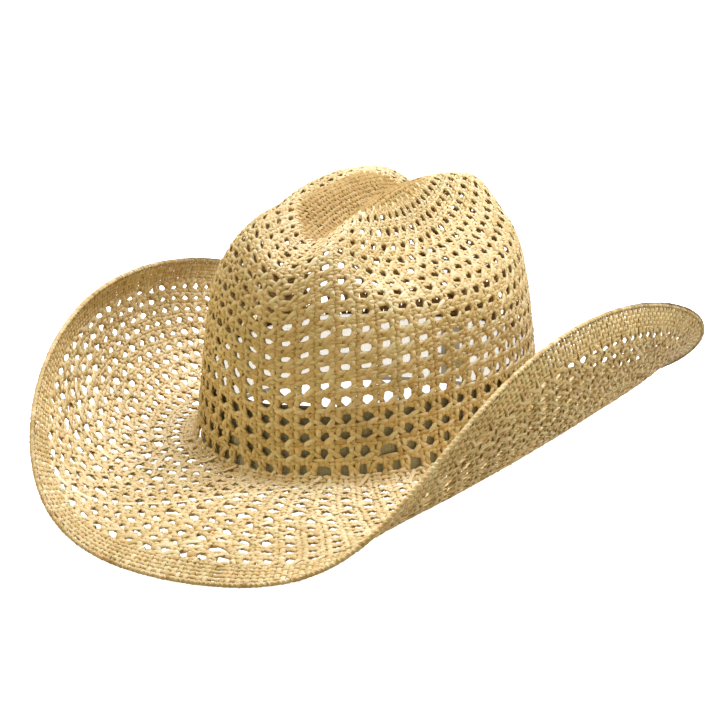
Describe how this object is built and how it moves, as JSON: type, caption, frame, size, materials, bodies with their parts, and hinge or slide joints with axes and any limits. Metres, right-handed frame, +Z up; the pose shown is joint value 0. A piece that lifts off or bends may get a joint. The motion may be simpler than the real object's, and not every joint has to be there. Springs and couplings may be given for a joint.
{
  "type": "straw cowboy hat",
  "caption": "Open-woven straw cowboy hat with a creased cattleman crown, a brim rolled up at the sides, a turned edge and a sweatband.",
  "frame": {"origin": "on the surface that the hat stands on, in the middle of its length and width", "axes": "+Z up; -Y towards the wearer's front, along the crease; +X towards the wearer's left"},
  "size_m": [0.2754, 0.3886, 0.1522],
  "materials": {
    "tip_straw": "matte close-woven straw",
    "crown_straw": "matte open-woven straw",
    "brim_straw": "matte open-woven straw",
    "border_straw": "matte close-woven straw",
    "edge_straw": "matte turned straw",
    "wire_steel": "drawn",
    "band_cloth": "matte cloth",
    "reed_cloth": "matte cloth",
    "thread": "matte thread",
    "tape_cloth": "matte cloth",
    "bow_ribbon": "satin ribbon"
  },
  "bodies": {
    "root": {"crown_tip": "tip_straw", "crown_side": "crown_straw", "brim": "brim_straw", "brim_border": "border_straw", "brim_edge": "edge_straw", "brim_wire": "wire_steel", "sweatband": "band_cloth", "sweatband_reed": "reed_cloth", "sweatband_thread": "thread", "sweatband_tape": "tape_cloth", "sweatband_bow": "bow_ribbon"}
  },
  "joints": []
}
